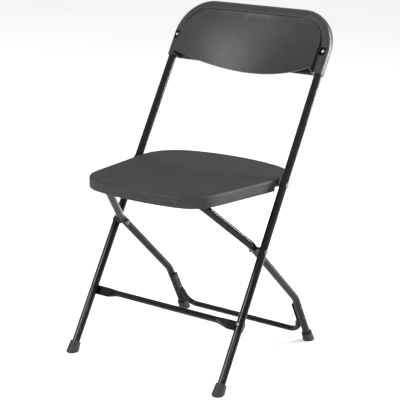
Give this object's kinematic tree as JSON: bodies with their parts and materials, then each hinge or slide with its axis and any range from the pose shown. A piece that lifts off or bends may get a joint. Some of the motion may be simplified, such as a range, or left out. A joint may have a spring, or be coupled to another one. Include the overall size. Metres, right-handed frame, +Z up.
{
  "type": "folding chair",
  "caption": "Steel tube folding chair with a moulded plastic seat that swings up between the uprights and a dished plastic backrest.",
  "frame": {"origin": "middle of the bounding box's underside, on the floor between the feet", "axes": "+Z up, the chair faces -Y, +X is to the sitter's left; the chair is symmetric about X = 0"},
  "size_m": [0.4656, 0.5091, 0.8042],
  "materials": {
    "black_tube": "gloss black powder coat",
    "black_plastic": "fine moulded grain",
    "charcoal_plastic": "fine moulded grain",
    "black_rubber": "matt",
    "bush_plastic": "smooth",
    "zinc_steel": "zinc plated",
    "rivet_steel": "black, worn bright at the head's edge"
  },
  "bodies": {
    "front_frame_body": {"front_frame": "black_tube", "backrest": "black_plastic", "backrest_screws": "zinc_steel", "front_crossbar": "black_tube", "crossbar_rivets": "rivet_steel", "seat_pivot_rod": "rivet_steel", "leg_pivot_rivet_left": "rivet_steel", "leg_pivot_rivet_right": "rivet_steel", "leg_pivot_washer_left": "rivet_steel", "leg_pivot_washer_right": "rivet_steel", "leg_spacer_left": "bush_plastic", "leg_spacer_right": "bush_plastic", "seat_spacer_left": "bush_plastic", "seat_spacer_right": "bush_plastic", "foot_cap_front_left": "black_rubber", "foot_cap_front_right": "black_rubber"},
    "rear_legs": {"rear_leg_frame": "black_tube", "rear_brace": "black_tube", "brace_rivets": "rivet_steel", "slide_glide_left": "bush_plastic", "slide_glide_right": "bush_plastic", "foot_cap_rear_left": "black_rubber", "foot_cap_rear_right": "black_rubber"},
    "seat_body": {"seat": "charcoal_plastic", "seat_skirt": "charcoal_plastic"}
  },
  "joints": [
    {"name": "seat_fold", "type": "hinge", "parent": "front_frame_body", "child": "seat_body", "pos_m": [0, 0.02972, 0.43309], "axis": [-1, 0, 0], "range_deg": [0, 114]},
    {"name": "rear_leg_fold", "type": "hinge", "parent": "front_frame_body", "child": "rear_legs", "pos_m": [0, -0.05287, 0.29326], "axis": [-1, 0, 0], "range_deg": [0, 69.5]}
  ],
  "couplings": [
    {"joint": "rear_leg_fold", "follows": "seat_fold", "ratio": 0.6096}
  ]
}
